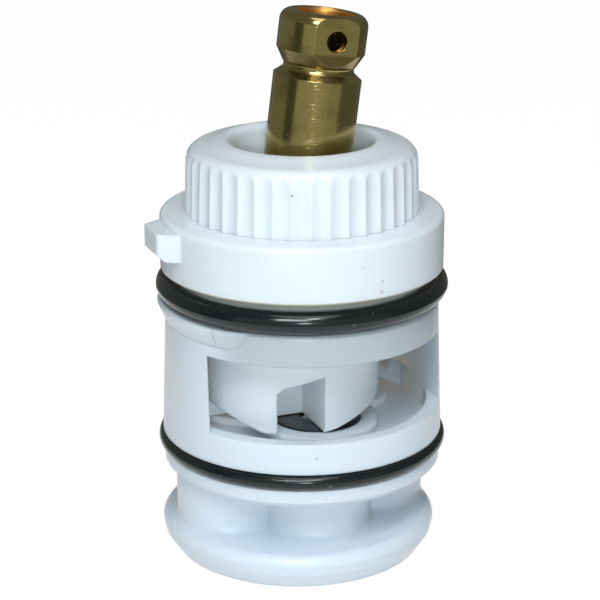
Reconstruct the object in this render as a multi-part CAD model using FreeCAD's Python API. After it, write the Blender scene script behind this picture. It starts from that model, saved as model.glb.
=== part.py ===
import FreeCAD, Part
import math
import os

# Single lever faucet cartridge, in millimetres, +Z up, standing on its foot.
#
# A white acetal body holds the valve. Its round barrel slides into the faucet and seals there with
# two black O-rings; mixed water leaves through the wide window between them. A ribbed cap screws
# into the collar and holds a turning carrier down. The brass lever stem leans on a cross pin in the
# carrier, and its ball tip pushes a slider across three sprung rubber seats above the ports.
#
# The origin is the centre of the foot's lower face. -Y is the side of the window, -X the side of
# the locating lug. The stem tilts in the XZ plane, and leans towards +X here.

V = FreeCAD.Vector

# Heights of the body, from the lower face of the foot up.
FOOT_EDGE_Z = 3.1           # widest line round the foot
FOOT_TOP_Z = 4.3
LIP_Z = 10.5                # underside of the lip below the lower O-ring
LOWER_RING_Z = 13.8         # middle of the lower O-ring
SILL_Z = 18.5               # lower edge of the window
WINDOW_HEIGHT = 9.3
UPPER_RING_Z = 33.1         # middle of the upper O-ring
COLLAR_Z = 35.4             # underside of the collar
COLLAR_TOP_Z = 42.0

# Round pieces step outwards from the stem's pivot ball. The O-rings' outer radius comes to
# 17.5, which fits the faucet's 35 mm bore.
PIVOT_BALL_R = 6.2
TOWER_WALL = 4.0            # round the pivot ball
TOWER_STEP = 1.8
CARRIER_WALL = 2.88         # from the carrier to the bottom of the upper O-ring's groove
UPPER_CORD = 2.62
TOWER_R = PIVOT_BALL_R + TOWER_WALL     # narrow part of the carrier, which holds the pin
CARRIER_R = TOWER_R + TOWER_STEP
RING_R = CARRIER_R + CARRIER_WALL + UPPER_CORD

# O-rings.
LOWER_CORD = 1.78
UPPER_GROOVE_ROOM = 0.3     # below the upper O-ring, in its groove
LOWER_GROOVE = 2.1          # width of the lower groove
LAND_BEVEL = 0.35

# Radii of the body, each by its step in from the O-rings or from its neighbour.
BARREL_LOW_STEP = 0.5
BARREL_TOP_STEP = 1.15
COLLAR_STEP = 0.6
LIP_STEP = 0.7
FOOT_STEP = 0.8
FOOT_TOP_STEP = 1.3
FOOT_BASE_STEP = 1.5
BARREL_LOW_R = RING_R - BARREL_LOW_STEP     # the barrel has a slight draft
BARREL_TOP_R = RING_R - BARREL_TOP_STEP
COLLAR_R = RING_R - COLLAR_STEP
COLLAR_EDGE = 0.6               # rounding of the collar's upper edge
LIP_R = RING_R - LIP_STEP
LIP_BEVEL = 0.7
FOOT_R = RING_R - FOOT_STEP
FOOT_TOP_R = FOOT_R - FOOT_TOP_STEP
FOOT_BASE_R = FOOT_R - FOOT_BASE_STEP
FOOT_BEVEL_Z = 1.9              # the bevel under the foot ends here
FOOT_BEVEL_STEP = 0.25
FOOT_SHIFT = 0.5                # the foot's middle, towards the lug's side
CHAMBER_WALL = 2.25
CHAMBER_R = BARREL_LOW_R - CHAMBER_WALL     # open chamber behind the window
FLOOR_STEP = 2.2                # floor of the chamber, below the sill
SILL_WALL = 1.7                 # thickness of the sill

# Flare under the upper O-ring, on the lug's side only.
FLARE_STEP = 0.15               # inside the O-ring's outer radius
FLARE_HEIGHT = 2.4
FLARE_HALF = 32.0               # half its width, degrees

# Locating lug on the collar.
LUG_TIP_WIDTH = 4.8
LUG_ROOT_WIDTH = 8.4
LUG_HEIGHT = 3.3
LUG_DROP = 0.6              # its top, below the collar's
LUG_REACH = 2.0
LUG_R = COLLAR_R + LUG_REACH
LUG_EDGE = 0.6
LUG_BEVEL = 0.8             # under its tip

# Waist: three round tubes that carry the ports, between foot and lip.
TUBE_R = 6.6
FRONT_TUBE_Y = -4.8
SIDE_TUBE_X = 9.2
SIDE_TUBE_Y = 0.4
TUBE_ROUND = 0.8            # hollow rounding where the tubes meet the foot

# Seats and ports.
FRONT_SEAT_R = 5.3
SIDE_SEAT_R = 3.6
SIDE_PORT_X = 6.6
SIDE_PORT_Y = 2.6
FRONT_PORT_R = 2.9
SIDE_PORT_R = 2.2
SEAT_HEIGHT = 3.3
FRONT_SEAT_HOLE_R = 2.2
SIDE_SEAT_HOLE_R = 1.5
BOSS_WALL = 2.0
BOSS_STEP = 0.1             # the seats stand above their bosses
BOSS_INSET = 0.6            # bosses end this far inside the chamber's wall
SEAT_EDGE = 0.3
SPRING_HEIGHT = 5.0
SPRING_WIRE = 0.6
SPRING_TURNS = 3            # between its two level end halves
SPRING_INSET = 0.9          # the spring's pocket is this much narrower than the seat
SPRING_FIT = 0.15
SLEEVE_WALL = 0.45
SLEEVE_HEIGHT = 2.6
PORT_SEAL_CORD = 1.5
PORT_SEAL_GAP = 0.5         # from the edge of a port to its seal

# Clearances.
OVER = 1.0                  # cutting and joined pieces run this far past a face
RUN = 0.05                  # running fit, each side
SEAT_FIT = 0.05             # round a piece that rests in a pocket
REST_GAP = 0.1              # slider above its seats
THRUST_GAP = 0.05           # under the thrust washer
SEAL_GAP = 0.03             # between a seal and the face that slides on it

# Turning carrier.
CARRIER_LEDGE = 1.3         # thickness of the lip that carries it, above the window
CARRIER_LEDGE_STEP = 0.8    # width of that lip
CARRIER_OPENING_R = CARRIER_R - CARRIER_LEDGE_STEP
SHOULDER_Z = 37.2           # top of the wide part
TOWER_TOP_Z = 46.0
CARRIER_CORD = 1.78
CARRIER_RING_DROP = 2.3     # its O-ring, below the shoulder
CARRIER_RING_Z = SHOULDER_Z - CARRIER_RING_DROP
STOP_DEPTH = 0.7            # stop tab, out from the carrier
STOP_HEIGHT = 1.4
STOP_HALF = 9.0             # half the width of the tab, degrees
TURN_LIMIT = 50.0           # each way, degrees
STOP_ROOM = 1.0             # beyond the turn, degrees
THROAT_ROOM = 0.15          # round the swinging shank
MOUTH_FLARE = 1.1           # the bore for the ball widens by this at its mouth
WASHER_HEIGHT = 0.5

# Stem. Heights on it run up from the pivot.
PIVOT_Z = 42.3
LEAN = 7.2                  # towards +X, as it stands
TILT_LIMIT = 16.0           # each way from upright
BALL_STEP = 1.0             # from the pivot ball in to the shaft
SHAFT_R = PIVOT_BALL_R - BALL_STEP
HEAD_R = SHAFT_R
HEAD_FLATS = 8.9            # across the two flats on the head
HEAD_BASE = 18.7
HEAD_LENGTH = 4.5
HEAD_TOP = HEAD_BASE + HEAD_LENGTH
NECK_R = 4.15
NECK_MID = 16.75
NECK_HALF = 0.45            # half the length of its round bottom
NECK_ROUND = 0.2
CONE_BASE = 15.65
HEAD_ROUND = 1.35           # rounding of the head's upper edge
RECESS_R = 3.4
RECESS_BEVEL = 0.35
RECESS_DEPTH = 6.0
CROSS_HOLE_R = 1.25
CROSS_HOLE_RISE = 1.65      # above the base of the head
CROSS_HOLE = HEAD_BASE + CROSS_HOLE_RISE
SHANK_R = 3.0
SHANK_CONE = 2.6            # length of the cone from the shank to the tip's neck
TIP_NECK_R = 1.6
TIP_NECK_LENGTH = 1.0
TIP_BALL_R = 2.3
TIP_DROP = 12.8             # pivot to the centre of the ball tip
STEM_CORD = 1.78
STEM_RING_DROP = 4.0        # the stem's O-ring, below the pivot

# Pin.
PIN_R = 1.5
PIN_INSET = 0.7             # its ends, inside the tower
PIN_LENGTH = 2 * (TOWER_R - PIN_INSET)

# Slider.
SLIDER_STEP = 0.4
SLIDER_R = CARRIER_OPENING_R - SLIDER_STEP
SLIDER_LIFT = 1.2           # above the chamber's floor
SLIDER_ROOF_GAP = 0.3       # below the top of the window
TONGUE_LENGTH = 13.0
TONGUE_WIDTH = 7.2
TONGUE_HEIGHT = 4.0
TONGUE_ROOM = 0.35          # beyond the tongue's travel, in the carrier
SOCKET_FIT = 0.08           # round the ball tip
SOCKET_ROOM = 0.3           # under it
POCKET_LEFT = -5.3          # pocket over the front seat, from the slider's centre
POCKET_RIGHT = 0.2
POCKET_DEPTH = 7.2          # back from the slider's front
POCKET_HEIGHT = 5.9         # at its left side
POCKET_RISE = 1.1           # its roof rises to the right
POCKET_CORNER = 0.8         # cut-off upper left corner
# Bevels under the front: where each starts, from the slider's centre, and its angle.
LEFT_BEVEL = (-6.4, 27.0)
RIGHT_BEVEL = (0.4, 14.0)
BEVEL_BACK = -0.5           # how far back the bevels run
SLIDER_EDGE = 0.3

# Ribbed cap. Heights on it run up from the collar.
CAP_WALL = 1.9              # outside the carrier
CAP_DRAFT = 0.2
CAP_R = CARRIER_R + CAP_WALL
CAP_TOP_R = CAP_R - CAP_DRAFT
CAP_EDGE_Z = 6.2            # where the side curves in
CAP_EDGE_STEP = 2.0
CAP_EDGE_R = CAP_R - CAP_EDGE_STEP   # where the curve meets the top
CAP_EDGE_TOP = 7.9
CAP_CROWN_TOP = 8.8
CAP_HOLE_R = 8.4
CAP_LIP = 0.5
RIBS = 40
RIB_DEPTH = 0.34            # of the hollow flutes between the ribs, at the collar
RIB_CREST = 0.15            # width of a rib's crest
RIB_TOP = 7.4               # the flutes run out at this height
SPIGOT_STEP = 0.9
SPIGOT_R = CARRIER_R + SPIGOT_STEP   # threaded part inside the collar
SPIGOT_BORE_STEP = 0.35
SPIGOT_BORE_R = TOWER_R + SPIGOT_BORE_STEP
SPIGOT_GAP = 0.1
CAP_ROOF_GAP = 0.4          # above the carrier

os.makedirs("parts", exist_ok=True)


def turned(points, edges=()):
    """Solid of revolution from (radius, height) points; edges maps a point's index to an arc's
    middle point on the way to the next one."""
    arcs = dict(edges)
    lines = []
    for i, start in enumerate(points):
        end = points[(i + 1) % len(points)]
        a = V(start[0], 0, start[1])
        b = V(end[0], 0, end[1])
        if i in arcs:
            middle = V(arcs[i][0], 0, arcs[i][1])
            lines.append(Part.Arc(a, middle, b).toShape())
        else:
            lines.append(Part.makeLine(a, b))
    face = Part.Face(Part.Wire(lines))
    return face.revolve(V(0, 0, 0), V(0, 0, 1), 360)


def rod(radius, low, high, x=0.0, y=0.0):
    return Part.makeCylinder(radius, high - low, V(x, y, low))


def block(x0, x1, y0, y1, z0, z1):
    return Part.makeBox(x1 - x0, y1 - y0, z1 - z0, V(x0, y0, z0))


def ring(radius, cord, x, y, z):
    """O-ring whose cord's middle runs at this radius."""
    return Part.makeTorus(radius, cord / 2, V(x, y, z))


def save(name, shape):
    shape.exportStep("parts/" + name + ".step")
    print(name, round(shape.Volume, 2), shape.isValid(), len(shape.Solids))


# Heights and places worked out from the sizes above.
lintel_z = SILL_Z + WINDOW_HEIGHT
floor_z = SILL_Z - FLOOR_STEP
slider_z = floor_z + SLIDER_LIFT
slider_top = lintel_z - SLIDER_ROOF_GAP
seat_top_z = slider_z - REST_GAP
boss_z = seat_top_z - BOSS_STEP
seat_low_z = seat_top_z - SEAT_HEIGHT
spring_low_z = seat_low_z - SPRING_HEIGHT
ledge_z = lintel_z + CARRIER_LEDGE
carrier_z = ledge_z + RUN
slot_top_z = slider_top + TONGUE_HEIGHT + TONGUE_ROOM
washer_z = SHOULDER_Z + THRUST_GAP
spigot_z = washer_z + WASHER_HEIGHT
upper_groove_r = RING_R - UPPER_CORD
lower_groove_r = RING_R - LOWER_CORD
slider_x = -TIP_DROP * math.sin(math.radians(LEAN))
slider_travel = TIP_DROP * math.sin(math.radians(TILT_LIMIT))
shank_drop = TIP_DROP - TIP_NECK_LENGTH - SHANK_CONE - math.sqrt(TIP_BALL_R ** 2 - TIP_NECK_R ** 2)
carrier_ring_r = CARRIER_R + RUN - SEAL_GAP - CARRIER_CORD / 2
stem_ring_r = math.sqrt((PIVOT_BALL_R + SEAL_GAP + STEM_CORD / 2) ** 2 - STEM_RING_DROP ** 2)
stem_ring_z = PIVOT_Z - STEM_RING_DROP

# Each port: name, x, y, radius of its rubber seat, of the seat's hole, and of the port.
PORTS = [
    ("front", 0.0, FRONT_TUBE_Y, FRONT_SEAT_R, FRONT_SEAT_HOLE_R, FRONT_PORT_R),
    ("hot", -SIDE_PORT_X, SIDE_PORT_Y, SIDE_SEAT_R, SIDE_SEAT_HOLE_R, SIDE_PORT_R),
    ("cold", SIDE_PORT_X, SIDE_PORT_Y, SIDE_SEAT_R, SIDE_SEAT_HOLE_R, SIDE_PORT_R),
]


def port_seal_radius(port_r):
    """Radius of the middle of the cord of the seal round a port."""
    return port_r + PORT_SEAL_GAP + PORT_SEAL_CORD / 2


def barrel_radius(z):
    share = (z - LOWER_RING_Z) / (UPPER_RING_Z - LOWER_RING_Z)
    return BARREL_LOW_R + (BARREL_TOP_R - BARREL_LOW_R) * share


def body_outline():
    """Outside of the body above its waist, with both O-ring grooves."""
    low_0 = LOWER_RING_Z - LOWER_GROOVE / 2
    low_1 = LOWER_RING_Z + LOWER_GROOVE / 2
    up_0 = UPPER_RING_Z - UPPER_CORD / 2 - UPPER_GROOVE_ROOM
    bend = COLLAR_EDGE * (1 - math.sqrt(0.5))
    points = [
        (0, LIP_Z),
        (LIP_R - LIP_BEVEL, LIP_Z),
        (LIP_R, LIP_Z + LIP_BEVEL),
        (LIP_R, low_0),
        (lower_groove_r, low_0),
        (lower_groove_r, low_1),
        (barrel_radius(low_1), low_1),
        (barrel_radius(up_0), up_0 - LAND_BEVEL),
        (barrel_radius(up_0) - LAND_BEVEL, up_0),
        (upper_groove_r, up_0),
        (upper_groove_r, COLLAR_Z),
        (COLLAR_R, COLLAR_Z),
        (COLLAR_R, COLLAR_TOP_Z - COLLAR_EDGE),
        (COLLAR_R - COLLAR_EDGE, COLLAR_TOP_Z),
        (0, COLLAR_TOP_Z),
    ]
    return turned(points, {12: (COLLAR_R - bend, COLLAR_TOP_Z - bend)})


def foot():
    """Round foot with a soft upper edge and a wide bevel underneath."""
    middle = math.sqrt(0.5)
    bend_r = FOOT_TOP_R + (FOOT_R - FOOT_TOP_R) * middle
    bend_z = FOOT_EDGE_Z + (FOOT_TOP_Z - FOOT_EDGE_Z) * middle
    points = [
        (0, 0),
        (FOOT_BASE_R, 0),
        (FOOT_R - FOOT_BEVEL_STEP, FOOT_BEVEL_Z),
        (FOOT_R, FOOT_EDGE_Z),
        (FOOT_TOP_R, FOOT_TOP_Z),
        (0, FOOT_TOP_Z),
    ]
    return turned(points, {3: (bend_r, bend_z)}).translated(V(-FOOT_SHIFT, 0, 0))


def waist():
    """Three port tubes between the foot and the lip."""
    low = FOOT_TOP_Z - OVER
    high = LIP_Z + OVER
    tubes = rod(TUBE_R, low, high, 0, FRONT_TUBE_Y)
    tubes = tubes.fuse(rod(TUBE_R, low, high, -SIDE_TUBE_X, SIDE_TUBE_Y))
    return tubes.fuse(rod(TUBE_R, low, high, SIDE_TUBE_X, SIDE_TUBE_Y))


def soften_waist(shape):
    """Hollow rounding all round the tubes' feet."""
    shape = shape.removeSplitter()
    feet = [edge for edge in shape.Edges
            if abs(edge.BoundBox.ZMin - FOOT_TOP_Z) < TUBE_ROUND / 10
            and abs(edge.BoundBox.ZMax - FOOT_TOP_Z) < TUBE_ROUND / 10
            and edge.Length < 2 * math.pi * TUBE_R]
    return shape.makeFillet(TUBE_ROUND, feet)


def chamber():
    """Hollow behind the window: round at the back, straight out through the front."""
    out = COLLAR_R + OVER
    hollow = rod(CHAMBER_R, SILL_Z, lintel_z)
    hollow = hollow.fuse(block(-CHAMBER_R, CHAMBER_R, -out, 0, SILL_Z, lintel_z))
    well = rod(barrel_radius(SILL_Z) - SILL_WALL, floor_z, SILL_Z + OVER)
    return hollow.fuse(well.common(block(-CHAMBER_R, CHAMBER_R, -out, out, floor_z, SILL_Z + OVER)))


def lug():
    """Locating lug: wider at its root, and bevelled under its tip."""
    low = COLLAR_TOP_Z - LUG_DROP - LUG_HEIGHT
    root = OVER - COLLAR_R
    outline = Part.makePolygon([
        V(root, -LUG_ROOT_WIDTH / 2, low),
        V(root, LUG_ROOT_WIDTH / 2, low),
        V(-LUG_R, LUG_TIP_WIDTH / 2, low),
        V(-LUG_R, -LUG_TIP_WIDTH / 2, low),
        V(root, -LUG_ROOT_WIDTH / 2, low),
    ])
    tab = Part.Face(outline).extrude(V(0, 0, LUG_HEIGHT))
    tips = [edge for edge in tab.Edges
            if abs(edge.CenterOfMass.x + LUG_R) < LUG_EDGE / 10
            and abs(edge.CenterOfMass.y) > LUG_TIP_WIDTH / 4]
    tab = tab.makeFillet(LUG_EDGE, tips)
    wedge = Part.Face(Part.makePolygon([
        V(-LUG_R, -LUG_ROOT_WIDTH, low),
        V(LUG_BEVEL - LUG_R, -LUG_ROOT_WIDTH, low),
        V(-LUG_R, -LUG_ROOT_WIDTH, low + LUG_BEVEL),
        V(-LUG_R, -LUG_ROOT_WIDTH, low),
    ]))
    return tab.cut(wedge.extrude(V(0, 2 * LUG_ROOT_WIDTH, 0)))


def flare():
    """Flare of the barrel below the upper O-ring, over the lug's side."""
    high = UPPER_RING_Z - UPPER_CORD / 2 - UPPER_GROOVE_ROOM
    low = high - FLARE_HEIGHT
    inner = barrel_radius(low) - OVER
    cone = turned([
        (inner, low),
        (barrel_radius(low), low),
        (RING_R - FLARE_STEP, high - LAND_BEVEL),
        (RING_R - FLARE_STEP - LAND_BEVEL, high),
        (inner, high),
    ])
    sector = Part.makeCylinder(RING_R + OVER, high - low, V(0, 0, low), V(0, 0, 1), 2 * FLARE_HALF)
    sector.rotate(V(0, 0, 0), V(0, 0, 1), 180 - FLARE_HALF)
    return cone.common(sector)


def stop_sector(radius, low, high, half):
    """Sector of a disc round the +Y side, half degrees each way."""
    slab = Part.makeCylinder(radius, high - low, V(0, 0, low), V(0, 0, 1), 2 * half)
    slab.rotate(V(0, 0, 0), V(0, 0, 1), 90 - half)
    return slab


def body():
    shape = foot().fuse([waist(), body_outline(), lug(), flare()])
    shape = soften_waist(shape)
    shape = shape.cut(chamber())
    inside = rod(CHAMBER_R - BOSS_INSET, floor_z - OVER, boss_z)
    for name, x, y, seat_r, hole_r, port_r in PORTS:
        shape = shape.fuse(rod(seat_r + BOSS_WALL, floor_z - OVER, boss_z, x, y).common(inside))
    for name, x, y, seat_r, hole_r, port_r in PORTS:
        seal_r = port_seal_radius(port_r) + PORT_SEAL_CORD / 2 + SEAT_FIT
        shape = shape.cut([
            rod(seat_r + SEAT_FIT, seat_low_z, boss_z + OVER, x, y),
            rod(seat_r - SPRING_INSET, spring_low_z, seat_low_z + OVER, x, y),
            rod(port_r, -OVER, spring_low_z + OVER, x, y),
            rod(seal_r, -OVER, PORT_SEAL_CORD, x, y),
        ])
    stop_low = SHOULDER_Z - STOP_HEIGHT - RUN
    shape = shape.cut([
        rod(CARRIER_OPENING_R, lintel_z - OVER, ledge_z + OVER),
        rod(CARRIER_R + RUN, ledge_z, SHOULDER_Z + OVER),
        rod(SPIGOT_R + SPIGOT_GAP, SHOULDER_Z, COLLAR_TOP_Z + OVER),
        stop_sector(CARRIER_R + STOP_DEPTH + RUN, stop_low, SHOULDER_Z + STOP_HEIGHT,
                    TURN_LIMIT + STOP_HALF + STOP_ROOM),
    ])
    return shape.removeSplitter()


def cap():
    """Ribbed cap with a crowned top, a round hole for the stem and a spigot below."""
    z = COLLAR_TOP_Z
    bend_r = CAP_EDGE_R + (CAP_TOP_R - CAP_EDGE_R) * math.sqrt(0.5)
    bend_z = z + CAP_EDGE_Z + (CAP_EDGE_TOP - CAP_EDGE_Z) * math.sqrt(0.5)
    lip = CAP_LIP * math.sqrt(0.5)
    crown = z + CAP_CROWN_TOP
    roof = TOWER_TOP_Z + CAP_ROOF_GAP
    points = [
        (SPIGOT_BORE_R, spigot_z),
        (SPIGOT_R, spigot_z),
        (SPIGOT_R, z),
        (CAP_R, z),
        (CAP_TOP_R, z + CAP_EDGE_Z),
        (CAP_EDGE_R, z + CAP_EDGE_TOP),
        (CAP_HOLE_R + CAP_LIP, crown),
        (CAP_HOLE_R, crown - CAP_LIP),
        (CAP_HOLE_R, roof),
        (SPIGOT_BORE_R, roof),
    ]
    arcs = {
        4: (bend_r, bend_z),
        6: (CAP_HOLE_R + CAP_LIP - lip, crown - CAP_LIP + lip),
    }
    shape = turned(points, arcs)
    return shape.cut(rib_grooves())


def rib_grooves():
    """Hollow flutes between the ribs: round cutters that lean outwards, so they run out upwards."""
    chord = 2 * CAP_R * math.sin(math.pi / RIBS) - RIB_CREST
    cutter_r = (chord ** 2 / 4 + RIB_DEPTH ** 2) / (2 * RIB_DEPTH)
    drift = RIB_DEPTH + CAP_R - CAP_TOP_R
    cutter = Part.makeCylinder(cutter_r, 2 * RIB_TOP, V(0, 0, -RIB_TOP))
    cutter.rotate(V(0, 0, 0), V(0, 1, 0), math.degrees(math.atan2(drift, RIB_TOP)))
    cutter.translate(V(CAP_R - RIB_DEPTH + cutter_r, 0, COLLAR_TOP_Z))
    cutter = cutter.common(rod(2 * CAP_R, COLLAR_TOP_Z, COLLAR_TOP_Z + 2 * RIB_TOP))
    grooves = []
    for i in range(RIBS):
        turn = cutter.copy()
        turn.rotate(V(0, 0, 0), V(0, 0, 1), 360 * i / RIBS)
        grooves.append(turn)
    return grooves


def carrier():
    """Turning carrier: seal groove, stop tab, slot for the slider's tongue, bore for the ball."""
    shape = rod(CARRIER_R, carrier_z, SHOULDER_Z).fuse(rod(TOWER_R, SHOULDER_Z - OVER, TOWER_TOP_Z))
    half = CARRIER_CORD / 2 + SEAT_FIT
    groove = rod(CARRIER_R + OVER, CARRIER_RING_Z - half, CARRIER_RING_Z + half)
    shape = shape.cut(groove.cut(rod(carrier_ring_r - CARRIER_CORD / 2, 0, TOWER_TOP_Z)))
    tab = stop_sector(CARRIER_R + STOP_DEPTH, SHOULDER_Z - STOP_HEIGHT, SHOULDER_Z, STOP_HALF)
    shape = shape.fuse(tab.cut(rod(CARRIER_R - OVER, 0, TOWER_TOP_Z)))
    slot_x = TONGUE_LENGTH / 2 + slider_travel + TONGUE_ROOM
    slot_y = TONGUE_WIDTH / 2 + RUN
    shape = shape.cut(block(-slot_x, slot_x, -slot_y, slot_y, carrier_z - OVER, slot_top_z))
    swing = math.radians(TILT_LIMIT)
    throat_r = shank_drop * math.tan(swing) + SHANK_R / math.cos(swing) + THROAT_ROOM
    groove_low = stem_ring_z - STEM_CORD / 2
    groove_high = stem_ring_z + STEM_CORD / 2 + SEAT_FIT
    groove_r = stem_ring_r + STEM_CORD / 2 + SEAT_FIT
    ball_r = PIVOT_BALL_R + RUN
    points = [
        (0, slot_top_z - OVER),
        (throat_r, slot_top_z - OVER),
        (throat_r, groove_low),
        (groove_r, groove_low),
        (groove_r, groove_high),
        (ball_r, groove_high),
        (ball_r, PIVOT_Z + PIN_R),
        (ball_r + MOUTH_FLARE, TOWER_TOP_Z),
        (ball_r + MOUTH_FLARE, TOWER_TOP_Z + OVER),
        (0, TOWER_TOP_Z + OVER),
    ]
    shape = shape.cut(turned(points))
    return shape.cut(cross_rod(PIN_R, 4 * TOWER_R, PIVOT_Z)).removeSplitter()


def cross_rod(radius, length, z):
    """Rod along Y, centred on the axis."""
    return Part.makeCylinder(radius, length, V(0, -length / 2, z), V(0, 1, 0))


def stem():
    """Turned bar with a ball tip, a pivot ball, a neck and a head with two flats."""
    ball_top = math.sqrt(PIVOT_BALL_R ** 2 - SHAFT_R ** 2)
    ball_low = math.sqrt(PIVOT_BALL_R ** 2 - SHANK_R ** 2)
    tip_top = TIP_DROP - math.sqrt(TIP_BALL_R ** 2 - TIP_NECK_R ** 2)
    head_bend = HEAD_ROUND * (1 - math.sqrt(0.5))
    bend = NECK_R + NECK_ROUND
    points = [
        (0, -TIP_DROP - TIP_BALL_R),
        (TIP_NECK_R, -tip_top),
        (TIP_NECK_R, -tip_top + TIP_NECK_LENGTH),
        (SHANK_R, -shank_drop),
        (SHANK_R, -ball_low),
        (SHAFT_R, ball_top),
        (SHAFT_R, CONE_BASE),
        (bend, NECK_MID - NECK_HALF),
        (bend, NECK_MID + NECK_HALF),
        (HEAD_R, HEAD_BASE),
        (HEAD_R, HEAD_TOP - HEAD_ROUND),
        (HEAD_R - HEAD_ROUND, HEAD_TOP),
        (RECESS_R + RECESS_BEVEL, HEAD_TOP),
        (RECESS_R, HEAD_TOP - RECESS_BEVEL),
        (RECESS_R, HEAD_TOP - RECESS_DEPTH),
        (0, HEAD_TOP - RECESS_DEPTH),
    ]
    arcs = {
        0: (TIP_BALL_R, -TIP_DROP),
        4: (PIVOT_BALL_R, 0),
        7: (NECK_R, NECK_MID),
        10: (HEAD_R - head_bend, HEAD_TOP - head_bend),
    }
    bar = turned(points, arcs)
    between = block(-2 * HEAD_R, 2 * HEAD_R, -HEAD_FLATS / 2, HEAD_FLATS / 2, NECK_MID, HEAD_TOP)
    bar = bar.cut(rod(HEAD_R + OVER, NECK_MID, HEAD_TOP + OVER).cut(between))
    bar = bar.cut(cross_rod(CROSS_HOLE_R, 4 * HEAD_R, CROSS_HOLE))
    return bar.cut(cross_rod(PIN_R + RUN, 4 * PIVOT_BALL_R, 0))


def leaning(shape):
    """Tilt a stem piece, built upright about its pivot, to where it stands."""
    placed = shape.copy()
    placed.rotate(V(0, 0, 0), V(0, 1, 0), LEAN)
    placed.translate(V(0, 0, PIVOT_Z))
    return placed


def slider():
    """Puck that slides over the seats, with a tongue above that the stem's tip drives."""
    puck = rod(SLIDER_R, slider_z, slider_top)
    rims = [edge for edge in puck.Edges if abs(edge.CenterOfMass.z - slider_z) < SLIDER_EDGE / 10]
    puck = puck.makeChamfer(SLIDER_EDGE, rims[:1])
    half = TONGUE_LENGTH / 2
    tongue = block(-half, half, -TONGUE_WIDTH / 2, TONGUE_WIDTH / 2, slider_top - OVER,
                   slider_top + TONGUE_HEIGHT)
    shape = puck.fuse(tongue)
    front = -SLIDER_R - OVER
    pocket = Part.Face(Part.makePolygon([
        V(POCKET_LEFT, front, slider_z - OVER),
        V(POCKET_RIGHT, front, slider_z - OVER),
        V(POCKET_RIGHT, front, slider_z + POCKET_HEIGHT + POCKET_RISE),
        V(POCKET_LEFT + POCKET_CORNER, front, slider_z + POCKET_HEIGHT),
        V(POCKET_LEFT, front, slider_z + POCKET_HEIGHT - POCKET_CORNER),
        V(POCKET_LEFT, front, slider_z - OVER),
    ]))
    shape = shape.cut(pocket.extrude(V(0, POCKET_DEPTH + OVER, 0)))
    for side, (start, angle) in ((-1, LEFT_BEVEL), (1, RIGHT_BEVEL)):
        end = side * (SLIDER_R + OVER)
        rise = abs(end - start) * math.tan(math.radians(angle))
        wedge = Part.Face(Part.makePolygon([
            V(start, front, slider_z),
            V(end, front, slider_z + rise),
            V(end, front, slider_z - OVER),
            V(start, front, slider_z - OVER),
            V(start, front, slider_z),
        ]))
        shape = shape.cut(wedge.extrude(V(0, BEVEL_BACK - front, 0)))
    socket_low = PIVOT_Z - TIP_DROP - TIP_BALL_R - SOCKET_ROOM
    shape = shape.cut(rod(TIP_BALL_R + SOCKET_FIT, socket_low, slider_top + TONGUE_HEIGHT + OVER))
    shape.translate(V(slider_x, 0, 0))
    return shape.removeSplitter()


def seat(x, y, seat_r, hole_r):
    """Rubber seat with a through hole and a pocket from below for its sleeve."""
    ring_solid = rod(seat_r, seat_low_z, seat_top_z, x, y)
    rims = [edge for edge in ring_solid.Edges
            if abs(edge.CenterOfMass.z - seat_top_z) < SEAT_EDGE / 10]
    ring_solid = ring_solid.makeFillet(SEAT_EDGE, rims[:1])
    return ring_solid.cut([
        rod(hole_r, seat_low_z - OVER, seat_top_z + OVER, x, y),
        rod(hole_r + SLEEVE_WALL, seat_low_z - OVER, seat_low_z + SLEEVE_HEIGHT, x, y),
    ])


def sleeve(x, y, hole_r):
    """Stiffening tube in the seat's pocket."""
    tube = rod(hole_r + SLEEVE_WALL, seat_low_z, seat_low_z + SLEEVE_HEIGHT, x, y)
    return tube.cut(rod(hole_r, seat_low_z - OVER, seat_low_z + SLEEVE_HEIGHT + OVER, x, y))


def spring(x, y, outer_r):
    """Coil spring under a seat, of half rings: the tilted ones climb between two level ends."""
    radius = outer_r - SPRING_WIRE / 2
    halves = 2 * SPRING_TURNS
    climb = (SPRING_HEIGHT - SPRING_WIRE) / halves
    coils = []
    for i in range(-1, halves + 1):
        level = i < 0 or i == halves
        half_climb = 0 if level else climb / 2
        coil = Part.makeTorus(math.hypot(radius, half_climb), SPRING_WIRE / 2, V(0, 0, 0),
                              V(0, 0, 1), 0, 360, 180)
        coil.rotate(V(0, 0, 0), V(0, 1, 0), math.degrees(math.atan2(half_climb, radius)))
        coil.rotate(V(0, 0, 0), V(0, 0, 1), 180 * i)
        base = spring_low_z + SPRING_WIRE / 2 + max(i, 0) * climb
        coil.translate(V(x, y, base + half_climb))
        coils.append(coil)
    return coils[0].fuse(coils[1:])


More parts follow.
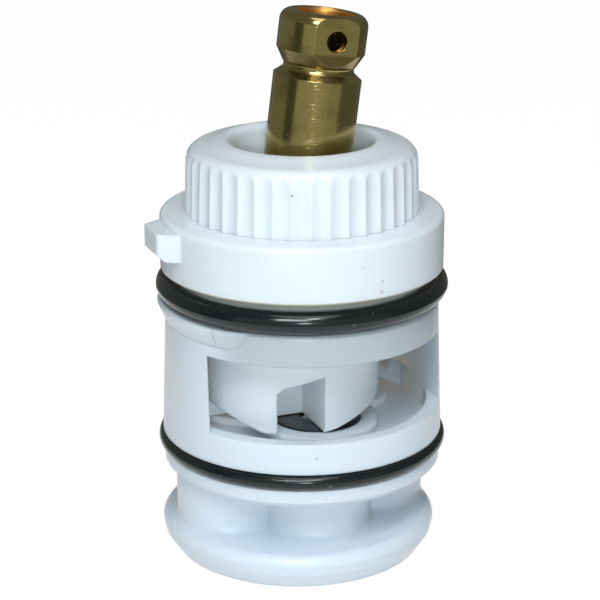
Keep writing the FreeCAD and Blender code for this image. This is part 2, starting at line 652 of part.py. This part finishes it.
save("body", body())
save("cap", cap())
save("carrier", carrier())
save("stem", leaning(stem()))
save("pivot_pin", cross_rod(PIN_R, PIN_LENGTH, PIVOT_Z))
save("slider", slider())
washer = rod(SPIGOT_R, washer_z, spigot_z).cut(rod(SPIGOT_BORE_R, washer_z - OVER, spigot_z + OVER))
save("thrust_washer", washer)
save("upper_o_ring", ring(RING_R - UPPER_CORD / 2, UPPER_CORD, 0, 0, UPPER_RING_Z))
save("lower_o_ring", ring(RING_R - LOWER_CORD / 2, LOWER_CORD, 0, 0, LOWER_RING_Z))
save("carrier_o_ring", ring(carrier_ring_r, CARRIER_CORD, 0, 0, CARRIER_RING_Z))
save("stem_o_ring", ring(stem_ring_r, STEM_CORD, 0, 0, stem_ring_z))
for name, x, y, seat_r, hole_r, port_r in PORTS:
    save(name + "_seat", seat(x, y, seat_r, hole_r))
    save(name + "_seat_sleeve", sleeve(x, y, hole_r))
    save(name + "_seat_spring", spring(x, y, seat_r - SPRING_INSET - SPRING_FIT))
    save(name + "_port_seal", ring(port_seal_radius(port_r), PORT_SEAL_CORD, x, y, PORT_SEAL_CORD / 2))
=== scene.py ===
import math
import bpy
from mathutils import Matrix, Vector


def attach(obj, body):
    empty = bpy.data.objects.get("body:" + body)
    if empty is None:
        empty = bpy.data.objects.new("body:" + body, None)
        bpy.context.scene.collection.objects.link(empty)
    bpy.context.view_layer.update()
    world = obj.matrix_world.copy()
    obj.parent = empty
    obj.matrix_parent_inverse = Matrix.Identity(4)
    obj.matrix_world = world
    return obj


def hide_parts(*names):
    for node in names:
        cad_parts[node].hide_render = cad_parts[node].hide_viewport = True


# Looks of a single lever faucet cartridge: white acetal, turned brass and black rubber, seen on a
# white table in soft light. Lengths are in metres, or in millimetres where a comment says so.

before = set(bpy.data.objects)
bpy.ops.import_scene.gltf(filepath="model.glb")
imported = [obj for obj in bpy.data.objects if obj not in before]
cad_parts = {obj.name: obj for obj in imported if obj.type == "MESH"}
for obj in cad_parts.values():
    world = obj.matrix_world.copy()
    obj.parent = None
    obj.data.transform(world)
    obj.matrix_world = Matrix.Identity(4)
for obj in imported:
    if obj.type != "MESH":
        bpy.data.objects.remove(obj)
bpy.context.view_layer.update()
scene = bpy.context.scene

MM = 0.001
PIVOT = Vector((0, 0, 42.3 * MM))
STEM_LEAN = math.radians(7.2)
STEM_AXIS = Vector((math.sin(STEM_LEAN), 0, math.cos(STEM_LEAN)))

ACETAL = (0.81, 0.87, 0.91)
ACETAL_SHADE = (0.60, 0.60, 0.58)   # faint clouds in it
ACETAL_LOW_SHADED = (0.73, 0.81, 0.88)     # painted shade: the body's lower half darker and bluer, as it takes less light than the brightly lit top
ACETAL_SHADOWED_BAND = (0.50, 0.55, 0.58)    # painted shade over the window, under the upper O-ring and collar, in front of the hollow
# painted warm shade inside the chamber
CHAMBER_WARM_SHADE = (0.93, 0.84, 0.75)
# painted shade in the upper O-ring's groove
GROOVE_SHADE = (0.62, 0.57, 0.44)
HANDLED = (0.50, 0.44, 0.36)
# painted warm reflection of brass, on the chamber's back wall
WARM_REFLECTION = (0.42, 0.20, 0.06)
BRASS = (0.50, 0.39, 0.155)
# dark brass: the film's patches and a speck on the cap, and painted shade under the head
BRASS_DIRT_AND_SHADE = (0.15, 0.105, 0.045)
BRASS_PAINTED_GLOW = (0.80, 0.40, 0.10)      # painted reflected glow inside the recess, brass lit by brass
RUBBER = (0.007, 0.011, 0.012)
CHALK = (0.55, 0.58, 0.58)          # dust on the rubber
STEEL = (0.55, 0.55, 0.54)

ACETAL_ROUGH = 0.29
ACETAL_IOR = 1.48
RUBBER_IOR = 1.5
BRASS_ROUGH = 0.15                  # clean and newly turned
LATHE_RINGS = 9000.0                # scale of the noise along the stem
SCRATCHES = (900.0, 900.0, 5200.0)  # noise scales of the brass's scratches along X, Y and Z
DRAWN_LINES = (400.0, 400.0, 4000.0)

# Bands in mm along an axis: where each starts, is full, starts to end and is gone.
CHAMBER = (15.5, 16.0, 28.0, 28.5)
OVER_WINDOW = (27.0, 28.0, 31.0, 33.0)
RING_GROOVE = (34.0, 34.6, 35.5, 35.6)
# painted shade on the head's downward-facing cone
SHADE_UNDER_HEAD = (58.9, 59.4, 60.5, 60.9)

# Round marks: tint, place and radius in mm, share of the radius that is full, and strength.
# The first two marks are a painted warm reflection of brass on the chamber's back wall; the others
# are handling specks.
BODY_MARKS = ((WARM_REFLECTION, (13.8, 6.2, 18.8), 1.7, 0.2, 0.5),
              (WARM_REFLECTION, (13.2, 7.4, 20.4), 1.2, 0.2, 0.3),
              (HANDLED, (-4.7, -16.2, 16.9), 0.30, 0.3, 0.55),
              (HANDLED, (3.1, -16.6, 37.4), 0.28, 0.3, 0.55),
              (HANDLED, (3.0, -16.6, 36.2), 0.34, 0.3, 0.55),
              (HANDLED, (0.6, -16.9, 39.3), 0.20, 0.3, 0.55))
CAP_MARKS = ((BRASS_DIRT_AND_SHADE, (-6.15, -12.3, 47.2), 0.20, 0.4, 0.8),)


class Value:
    """A shader socket that takes part in Python arithmetic."""

    def __init__(self, shader, socket):
        self.shader = shader
        self.socket = socket

    def math(self, operation, a, b):
        return self.shader.add("ShaderNodeMath", {"operation": operation}, {0: a, 1: b})

    def __add__(self, other):
        return self.math("ADD", self, other)

    def __radd__(self, other):
        return self.math("ADD", other, self)

    def __mul__(self, other):
        return self.math("MULTIPLY", self, other)


class Shader:
    """A material's node tree, with its principled shader and its object coordinates."""

    def __init__(self, name):
        self.material = bpy.data.materials.new(name)
        self.material.use_nodes = True
        self.tree = self.material.node_tree
        self.tree.nodes.clear()
        self.output = self.tree.nodes.new("ShaderNodeOutputMaterial")
        self.surface = self.tree.nodes.new("ShaderNodeBsdfPrincipled")
        self.tree.links.new(self.surface.outputs[0], self.output.inputs["Surface"])
        self.place = self.add("ShaderNodeTexCoord", {}, {}, "Object")

    def add(self, kind, settings, inputs, result=0):
        """New node, its settings made first, then its sockets; gives back one of its outputs."""
        node = self.tree.nodes.new(kind)
        for name, value in settings.items():
            setattr(node, name, value)
        for name, value in inputs.items():
            self.feed(node.inputs[name], value)
        return Value(self, node.outputs[result])

    def feed(self, socket, value):
        if isinstance(value, Value):
            self.tree.links.new(value.socket, socket)
        else:
            socket.default_value = value

    def set(self, **sockets):
        """Sockets of the principled shader, by name with underscores for spaces."""
        for name, value in sockets.items():
            self.feed(self.surface.inputs[name.replace("_", " ")], value)
        return self.material

    def noise(self, scale, detail, roughness=0.5, place=None):
        return self.add("ShaderNodeTexNoise", {},
                        {"Vector": place or self.place, "Scale": scale, "Detail": detail,
                         "Roughness": roughness})

    def ramp(self, value, low, high, start=0.0, end=1.0):
        """Value between low and high, stretched to start and end with soft ends."""
        return self.add("ShaderNodeMapRange", {"interpolation_type": "SMOOTHSTEP"},
                        {"Value": value, "From Min": low, "From Max": high,
                         "To Min": start, "To Max": end})

    def band(self, value, limits):
        """1 inside a band whose limits are in mm, 0 outside it."""
        start, full, fade, gone = [limit * MM for limit in limits]
        return self.ramp(value, start, full) * self.ramp(value, fade, gone, 1.0, 0.0)

    def mix(self, mask, a, b):
        """Colour a where the mask is 0 and b where it is 1, through the node's colour sockets."""
        a, b = [c if isinstance(c, Value) else (*c, 1.0) for c in (a, b)]
        return self.add("ShaderNodeMix", {"data_type": "RGBA"},
                        {0: mask, 6: a, 7: b}, 2)

    def axis(self, name):
        return self.add("ShaderNodeSeparateXYZ", {}, {0: self.place}, name)

    def near(self, point, inner, outer):
        """1 round a point in the object, 0 further away."""
        away = self.add("ShaderNodeVectorMath", {"operation": "DISTANCE"},
                        {0: self.place, 1: tuple(point)}, "Value")
        return self.ramp(away, inner, outer, 1.0, 0.0)

    def stretched(self, scale):
        return self.add("ShaderNodeVectorMath", {"operation": "MULTIPLY"},
                        {0: self.place, 1: scale})

    def bump(self, height, distance, normal=None):
        inputs = {"Height": height, "Distance": distance, "Strength": 1.0}
        if normal:
            inputs["Normal"] = normal
        return self.add("ShaderNodeBump", {}, inputs)

    def soft_edges(self, radius):
        return self.add("ShaderNodeBevel", {"samples": 6}, {"Radius": radius})


def acetal(name, edge):
    """Moulded acetal: bluish white and faintly uneven, with softened edges.
    Gives the shader, its colour and its normal."""
    s = Shader(name)
    cloud = s.noise(140.0, 3.0)
    grime = s.ramp(s.noise(420.0, 4.0, 0.65), 0.62, 0.78, 0.0, 0.25)
    colour = s.mix(s.ramp(cloud, 0.35, 0.75, 0.0, 0.14), ACETAL, ACETAL_SHADE)
    colour = s.mix(grime * s.ramp(cloud, 0.5, 0.7), colour, HANDLED)
    return s, colour, s.soft_edges(edge)


def finish_acetal(s, colour, skin, marks=()):
    """Lay the marks on the colour, and let a little light pass under the surface."""
    for tint, point, radius, core, strength in marks:
        mark = s.near([c * MM for c in point], core * radius * MM, radius * MM)
        colour = s.mix(mark * strength, colour, tint)
    return s.set(Base_Color=colour, Roughness=ACETAL_ROUGH, Normal=skin, IOR=ACETAL_IOR,
                 Subsurface_Weight=0.45, Subsurface_Radius=(1.0, 0.95, 0.9),
                 Subsurface_Scale=1.1 * MM)


def body_material():
    s, colour, skin = acetal("white_acetal_body", 0.35 * MM)
    height = s.axis("Z")
    # Painted shade: darker and bluer towards the bottom, which takes less light than the top.
    colour = s.mix(s.ramp(height, 26 * MM, 38 * MM, 1.0, 0.0), colour, ACETAL_LOW_SHADED)
    # Painted shade on the front, over the window and under the upper O-ring and collar.
    over_window = s.band(height, OVER_WINDOW)
    front = s.ramp(s.axis("Y"), -12 * MM, -7 * MM, 1.0, 0.0)
    colour = s.mix(over_window * front * 0.95, colour, ACETAL_SHADOWED_BAND)
    # Painted warm shade on the chamber's inner wall, strongest towards the back.
    axis_away = s.add("ShaderNodeVectorMath", {"operation": "LENGTH"},
                      {0: s.stretched((1.0, 1.0, 0.0))}, "Value")
    inside = (s.ramp(axis_away, 14.75 * MM, 15.1 * MM, 1.0, 0.0) * s.band(height, CHAMBER)
              * s.ramp(s.axis("Y"), -5 * MM, 5 * MM, 0.1, 1.0))
    colour = s.mix(inside, colour, CHAMBER_WARM_SHADE)
    # Painted shade in the upper O-ring's groove.
    colour = s.mix(s.band(height, RING_GROOVE) * 0.8, colour, GROOVE_SHADE)
    return finish_acetal(s, colour, skin, BODY_MARKS)


def brass_material():
    """Turned brass: rings from the lathe, handling scratches, a dull film in patches, painted
    shade under the head and a painted reflected glow inside the recess.
    """
    s = Shader("turned_brass")
    along = s.add("ShaderNodeVectorMath", {"operation": "DOT_PRODUCT"},
                  {0: s.place, 1: tuple(STEM_AXIS)}, "Value")
    rings = s.add("ShaderNodeTexNoise", {"noise_dimensions": "1D"},
                  {"W": along, "Scale": LATHE_RINGS, "Detail": 3.0, "Roughness": 0.7})
    film = s.ramp(s.noise(260.0, 5.0, 0.6), 0.42, 0.68)
    scratches = s.ramp(s.noise(1.0, 3.0, 0.6, s.stretched(SCRATCHES)), 0.60, 0.66)
    colour = s.mix(film * 0.45, BRASS, BRASS_DIRT_AND_SHADE)
    # The recess, where a painted reflected glow goes and the brass is rougher.
    recess = (s.near(PIVOT + STEM_AXIS * 21.5 * MM, 3.7 * MM, 4.2 * MM)
              * s.ramp(along, 63.1 * MM, 63.9 * MM))
    # Painted shade on the cone under the head.
    colour = s.mix(s.band(along, SHADE_UNDER_HEAD) * 0.65, colour, BRASS_DIRT_AND_SHADE)
    colour = s.mix(recess, colour, BRASS_PAINTED_GLOW)
    rough = BRASS_ROUGH + film * 0.10 + scratches * 0.12 + recess * 0.2
    skin = s.bump(rings, 0.002 * MM, s.soft_edges(0.12 * MM))
    skin = s.bump(scratches, 0.002 * MM, skin)
    return s.set(Base_Color=colour, Metallic=1.0, Roughness=rough, Normal=skin)


def rubber_material(name, specks):
    """Black rubber with a greasy shine and pale dust, whose strength specks gives."""
    s = Shader(name)
    dust = s.ramp(s.noise(1500.0, 2.0, 0.6), 0.70, 0.76) * specks
    colour = s.mix(dust, RUBBER, CHALK)
    rough = s.ramp(s.noise(600.0, 3.0), 0.3, 0.7, 0.10, 0.20)
    skin = s.bump(s.noise(1800.0, 2.0), 0.012 * MM)
    return s.set(Base_Color=colour, Roughness=rough + dust * 0.4, Normal=skin, IOR=RUBBER_IOR)


def steel_material():
    s = Shader("drawn_steel")
    lines = s.noise(1.0, 3.0, 0.6, s.stretched(DRAWN_LINES))
    return s.set(Base_Color=(*STEEL, 1.0), Metallic=1.0,
                 Roughness=s.ramp(lines, 0.3, 0.7, 0.22, 0.38),
                 Normal=s.bump(lines, 0.003 * MM))


def dress(material, *nodes):
    """Give CAD nodes this material."""
    for node in nodes:
        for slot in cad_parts[node].material_slots:
            slot.material = material


SEATS = ("front", "hot", "cold")
BODY = body_material()
dress(BODY, "body")
CAP = finish_acetal(*acetal("white_acetal_cap", 0.15 * MM), CAP_MARKS)
dress(CAP, "cap", "thrust_washer")
dress(finish_acetal(*acetal("white_acetal_valve", 0.25 * MM)), "slider", "carrier",
      *[seat + "_seat_sleeve" for seat in SEATS])
dress(brass_material(), "stem")
dress(rubber_material("nitrile_rubber", 0.25), "upper_o_ring", "lower_o_ring", "carrier_o_ring",
      "stem_o_ring", *[seat + "_port_seal" for seat in SEATS])
dress(rubber_material("seat_rubber", 0.9), *[seat + "_seat" for seat in SEATS])
dress(steel_material(), "pivot_pin", *[seat + "_seat_spring" for seat in SEATS])

SHARP_ANGLE = math.radians(28)      # edges that bend more than this stay sharp


def new_piece(name, verts, faces, material):
    mesh = bpy.data.meshes.new(name)
    mesh.from_pydata(verts, [], faces)
    mesh.materials.append(material)
    piece = bpy.data.objects.new(name, mesh)
    scene.collection.objects.link(piece)
    return piece


def shade_smooth(mesh):
    mesh.polygons.foreach_set("use_smooth", [True] * len(mesh.polygons))
    mesh.set_sharp_from_angle(angle=SHARP_ANGLE)


def round_point(radius, angle, height):
    """Point round the barrel's axis, from lengths in mm."""
    return radius * math.cos(angle) * MM, radius * math.sin(angle) * MM, height * MM


def strips(columns, count, steps):
    """Faces between neighbouring columns of count points each, which run round a section."""
    faces = []
    for i in range(steps):
        j = (i + 1) % columns
        for k in range(count):
            m = (k + 1) % count
            faces.append((i * count + k, j * count + k, j * count + m, i * count + m))
    return faces


# The ribbed cap again, with the flutes' full depth up to the shoulder. Lengths are in mm, and rows
# are (radius, height).
CAP_SIDE = ((13.9, 42.0), (13.85, 43.55), (13.8, 45.1), (13.75, 46.65), (13.7, 48.2))
SHOULDER = (11.9, 13.7, 48.2, 49.9)     # inner and outer radius, low and high end of its curve
SHOULDER_ROWS = 12
CAP_TOP = ((10.4, 50.35), (9.5, 50.62), (9.05, 50.6), (8.7, 50.4), (8.48, 50.05), (8.4, 49.6),
           (8.4, 46.4), (10.55, 46.4), (10.55, 37.75), (12.9, 37.75), (12.9, 42.0))
RIBS = 40
RIB_DEPTH = 0.34
RIB_CREST = 0.07            # share of a rib's pitch that its crest takes
RIB_STEPS = 10
RIB_DRAFT = 0.2 / 6.2       # the side leans in by this much as it rises


def flute_radius(share, height):
    """Radius of the hollow between two crests, at this share of the pitch and height."""
    foot_radius, foot = CAP_SIDE[0]
    inside = (share - RIB_CREST) / (1 - RIB_CREST)
    hollow = RIB_DEPTH * (1 - (2 * inside - 1) ** 2) if inside > 0 else 0.0
    return foot_radius - (height - foot) * RIB_DRAFT - hollow


def ribbed_cap():
    inner, outer, low, high = SHOULDER
    rows = list(CAP_SIDE)
    for i in range(1, SHOULDER_ROWS + 1):
        bend = math.radians(90 * i / SHOULDER_ROWS)
        rows.append((inner + (outer - inner) * math.cos(bend),
                     low + (high - low) * math.sin(bend)))
    fluted = len(rows)
    rows.extend(CAP_TOP)
    shares = [0.0] + [RIB_CREST + (1 - RIB_CREST) * i / RIB_STEPS for i in range(RIB_STEPS)]
    verts = []
    for rib in range(RIBS):
        for share in shares:
            turn = 2 * math.pi * (rib + share) / RIBS
            for k, (radius, height) in enumerate(rows):
                if k < fluted:
                    radius = min(radius, flute_radius(share, height))
                verts.append(round_point(radius, turn, height))
    columns = RIBS * len(shares)
    piece = new_piece("ribbed_cap", verts, strips(columns, len(rows), columns), CAP)
    shade_smooth(piece.data)
    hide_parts("cap")
    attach(piece, "housing")


ribbed_cap()

# Skin over the flare under the upper O-ring, which fades out at both ends instead of at a step.
# Rows are, in mm, (height, radius on the flare, radius where it has sunk into the barrel).
FLARE_ROWS = ((29.05, 16.30, 16.20), (29.15, 16.52, 16.25), (31.15, 17.362, 16.15),
              (31.48, 17.01, 15.95), (31.48, 16.0, 15.8))
FLARE_HALF = 30.0           # full height this far each way from the lug's side, degrees
FLARE_FADE = 22.0
FLARE_STEPS = 92


def flare_skin():
    verts = []
    reach = FLARE_HALF + FLARE_FADE
    for i in range(FLARE_STEPS + 1):
        turn = reach * (2 * i / FLARE_STEPS - 1)
        gone = min(1.0, max(0.0, (abs(turn) - FLARE_HALF) / FLARE_FADE))
        fade = 0.5 + 0.5 * math.cos(math.pi * gone)
        for height, high, low in FLARE_ROWS:
            verts.append(round_point(low + (high - low) * fade, math.radians(180 + turn), height))
    count = len(FLARE_ROWS)
    ends = [tuple(range(count)), tuple(range(FLARE_STEPS * count, (FLARE_STEPS + 1) * count))]
    sides = strips(FLARE_STEPS + 1, count, FLARE_STEPS)
    piece = new_piece("flare_skin", verts, ends + sides, BODY)
    shade_smooth(piece.data)
    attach(piece, "housing")


flare_skin()

# Camera, as the photograph was taken: from the front left and a little above. Turns and pitches
# are in degrees, seen from the point that camera and lamps aim at.
AIM = Vector((0, 0, 30.5 * MM))
CAMERA_AWAY = 240 * MM
CAMERA_TURN = -22
CAMERA_PITCH = 18.3
CAMERA_CLIP = 10 * MM
FOCAL_PIXELS = 1992.0
IMAGE_PIXELS = 600.0
AXIS_RIGHT = 1.9            # pixels from the picture's middle to the cartridge's axis
SENSOR = 36.0

# Square lamps: name, turn, pitch, distance, side, power and colour.
LAMPS = (("key_lamp", -30, 44, 0.60, 0.22, 1.68, (0.86, 0.95, 1.0)),
         ("top_lamp", -10, 78, 0.60, 0.30, 0.60, (0.95, 0.95, 1.0)),
         ("high_lamp", -8, 58, 0.60, 0.07, 0.40, (1.0, 1.0, 1.0)),
         ("camera_flash", -20, 14, 0.35, 0.030, 0.36, (0.90, 0.97, 1.0)))
WORLD_COLOUR = (1.0, 0.97, 0.94, 1.0)
WORLD_LEVEL = 0.13
TABLE_HALF = 0.6
TABLE_COLOUR = (0.85, 0.85, 0.85, 1.0)
TABLE_ROUGH = 0.7
TABLE_GLOW = 1.05           # a little over 1, as the lit surface that shows the shadow is darker
TABLE_GLOW_SHARE = 0.92

# Reflection cards round the object: name, first and last turn, and level.
CARDS = (("front_card", -72, 10, 0.40),
         ("front_right_card", 10, 42, 0.34),
         ("left_card", -98, -72, 0.08),
         ("far_left_card", -170, -98, 0.22),
         ("right_card", 42, 190, 0.13))
CARD_STEP = 6               # degrees
CARD_AWAY = 95 * MM
CARD_LOW = 1 * MM
CARD_HIGH = 92 * MM
CARD_TINT = (0.95, 1.0, 0.85)
ROOM = 0.75                 # distance of the room's wall and ceiling
ROOM_LEVEL = 0.16
QUAD = (0, 1, 2, 3)


def place(thing, turn, pitch, away):
    """Set a camera or lamp this far from AIM, and point it there."""
    turn, pitch = math.radians(turn), math.radians(pitch)
    scene.collection.objects.link(thing)
    thing.location = AIM + Vector((math.sin(turn) * math.cos(pitch),
                                   -math.cos(turn) * math.cos(pitch), math.sin(pitch))) * away
    thing.rotation_euler = (AIM - thing.location).to_track_quat("-Z", "Y").to_euler()


def make_camera():
    data = bpy.data.cameras.new("camera")
    data.sensor_width = SENSOR
    data.lens = FOCAL_PIXELS / IMAGE_PIXELS * SENSOR
    data.shift_x = -AXIS_RIGHT / IMAGE_PIXELS
    data.clip_start = CAMERA_CLIP
    camera = bpy.data.objects.new("camera", data)
    place(camera, CAMERA_TURN, CAMERA_PITCH, CAMERA_AWAY)
    scene.camera = camera


def lamp(name, turn, pitch, away, side, power, colour):
    data = bpy.data.lights.new(name, "AREA")
    data.color = colour
    data.shape = "SQUARE"
    data.size = side
    data.energy = power
    place(bpy.data.objects.new(name, data), turn, pitch, away)


def seen_as_white(tree):
    """1 for rays that show the background: from the camera, in a reflection or through glass."""
    paths = tree.nodes.new("ShaderNodeLightPath")
    total = paths.outputs["Is Camera Ray"]
    for name in ("Is Glossy Ray", "Is Transmission Ray"):
        both = tree.nodes.new("ShaderNodeMath")
        both.operation = "MAXIMUM"
        tree.links.new(total, both.inputs[0])
        tree.links.new(paths.outputs[name], both.inputs[1])
        total = both.outputs[0]
    return total


def make_world():
    """Dim light from all round, which shows as white wherever the background is seen."""
    world = bpy.data.worlds.new("studio")
    scene.world = world
    world.use_nodes = True
    tree = world.node_tree
    light = tree.nodes["Background"]
    white = tree.nodes.new("ShaderNodeBackground")
    both = tree.nodes.new("ShaderNodeMixShader")
    light.inputs["Color"].default_value = WORLD_COLOUR
    light.inputs["Strength"].default_value = WORLD_LEVEL
    white.inputs["Color"].default_value = (1.0, 1.0, 1.0, 1.0)
    white.inputs["Strength"].default_value = 1.0
    tree.links.new(seen_as_white(tree), both.inputs[0])
    tree.links.new(light.outputs[0], both.inputs[1])
    tree.links.new(white.outputs[0], both.inputs[2])
    tree.links.new(both.outputs[0], tree.nodes["World Output"].inputs[0])


def square(half, height):
    return [(-half, -half, height), (half, -half, height), (half, half, height),
            (-half, half, height)]


def make_floor():
    """White table that keeps a faint shadow."""
    s = Shader("white_table")
    s.set(Base_Color=TABLE_COLOUR, Roughness=TABLE_ROUGH)
    glow = s.tree.nodes.new("ShaderNodeEmission")
    glow.inputs["Strength"].default_value = TABLE_GLOW
    both = s.tree.nodes.new("ShaderNodeMixShader")
    share = Value(s, seen_as_white(s.tree)) * TABLE_GLOW_SHARE
    s.feed(both.inputs[0], share)
    s.tree.links.new(s.surface.outputs[0], both.inputs[1])
    s.tree.links.new(glow.outputs[0], both.inputs[2])
    s.tree.links.new(both.outputs[0], s.output.inputs["Surface"])
    table = new_piece("table_top", square(TABLE_HALF, 0), [QUAD], s.material)


def panel(name, verts, faces, level):
    """Staging piece of even brightness that only reflections show, as a studio's cards are."""
    s = Shader(name)
    s.set(Base_Color=(0.0, 0.0, 0.0, 1.0), Roughness=1.0, Specular_IOR_Level=0.0,
          Emission_Color=(*[level * part for part in CARD_TINT], 1.0), Emission_Strength=1.0)
    thing = new_piece(name, verts, faces, s.material)
    thing.visible_camera = False
    thing.visible_diffuse = False
    thing.visible_shadow = False
    thing.visible_transmission = False


def card(name, start, end, away, low, high, level):
    """Upright curved panel round the object between two turns."""
    steps = (end - start) // CARD_STEP
    verts = []
    for i in range(steps + 1):
        turn = math.radians(start + (end - start) * i / steps)
        for height in (low, high):
            verts.append((math.sin(turn) * away, -math.cos(turn) * away, height))
    faces = [(2 * i, 2 * i + 2, 2 * i + 3, 2 * i + 1) for i in range(steps)]
    panel(name, verts, faces, level)


make_camera()
make_world()
make_floor()
for row in LAMPS:
    lamp(*row)
for name, start, end, level in CARDS:
    card(name, start, end, CARD_AWAY, CARD_LOW, CARD_HIGH, level)
card("room_wall", -180, 180, ROOM, CARD_HIGH, ROOM, ROOM_LEVEL)
panel("room_ceiling", square(ROOM, ROOM), [QUAD], ROOM_LEVEL)

scene.view_settings.view_transform = "Standard"
